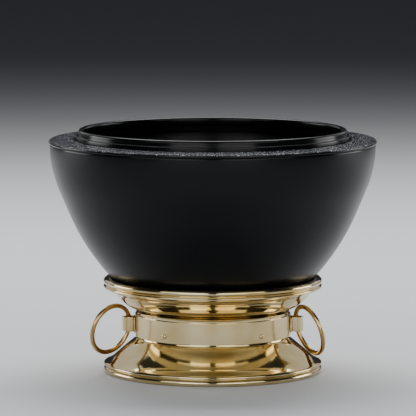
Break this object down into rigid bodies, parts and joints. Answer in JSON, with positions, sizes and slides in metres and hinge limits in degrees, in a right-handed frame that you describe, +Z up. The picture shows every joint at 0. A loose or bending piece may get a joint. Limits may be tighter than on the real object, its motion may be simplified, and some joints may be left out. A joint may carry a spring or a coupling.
{
  "type": "alms bowl on stand",
  "caption": "Round black lacquered alms bowl with a raised mouth, resting in a flared brass stand with loose pull rings in strap lugs.",
  "frame": {"origin": "centre of the foot, on the surface it stands on", "axes": "+Z up through the mouth; -Y is the front, and the lugs are on -X and +X"},
  "size_m": [0.2, 0.2, 0.1489],
  "materials": {
    "bowl": "black lacquer, satin gloss, with a finely speckled shoulder",
    "foot_flare": "mirror polished",
    "cup_flare": "mirror polished",
    "waist_band": "mirror polished",
    "band_stud_1": "mirror polished",
    "band_stud_2": "mirror polished",
    "band_stud_3": "mirror polished",
    "band_stud_4": "mirror polished",
    "left_lug": "mirror polished",
    "right_lug": "mirror polished",
    "left_ring": "polished wire, a little darker than the stand",
    "right_ring": "polished wire, a little darker than the stand"
  },
  "bodies": {
    "stand": {"bowl": "bowl", "foot_flare": "foot_flare", "cup_flare": "cup_flare", "waist_band": "waist_band", "band_stud_1": "band_stud_1", "band_stud_2": "band_stud_2", "band_stud_3": "band_stud_3", "band_stud_4": "band_stud_4", "left_lug": "left_lug", "right_lug": "right_lug"},
    "left_pull": {"left_ring": "left_ring"},
    "right_pull": {"right_ring": "right_ring"}
  },
  "joints": [
    {"name": "left_ring_swing", "type": "hinge", "parent": "stand", "child": "left_pull", "pos_m": [-0.0514, 0, 0.029], "axis": [0, 0, 1], "range_deg": [-34, 14]},
    {"name": "right_ring_swing", "type": "hinge", "parent": "stand", "child": "right_pull", "pos_m": [0.0514, 0, 0.029], "axis": [0, 0, -1], "range_deg": [-44, 1]}
  ]
}
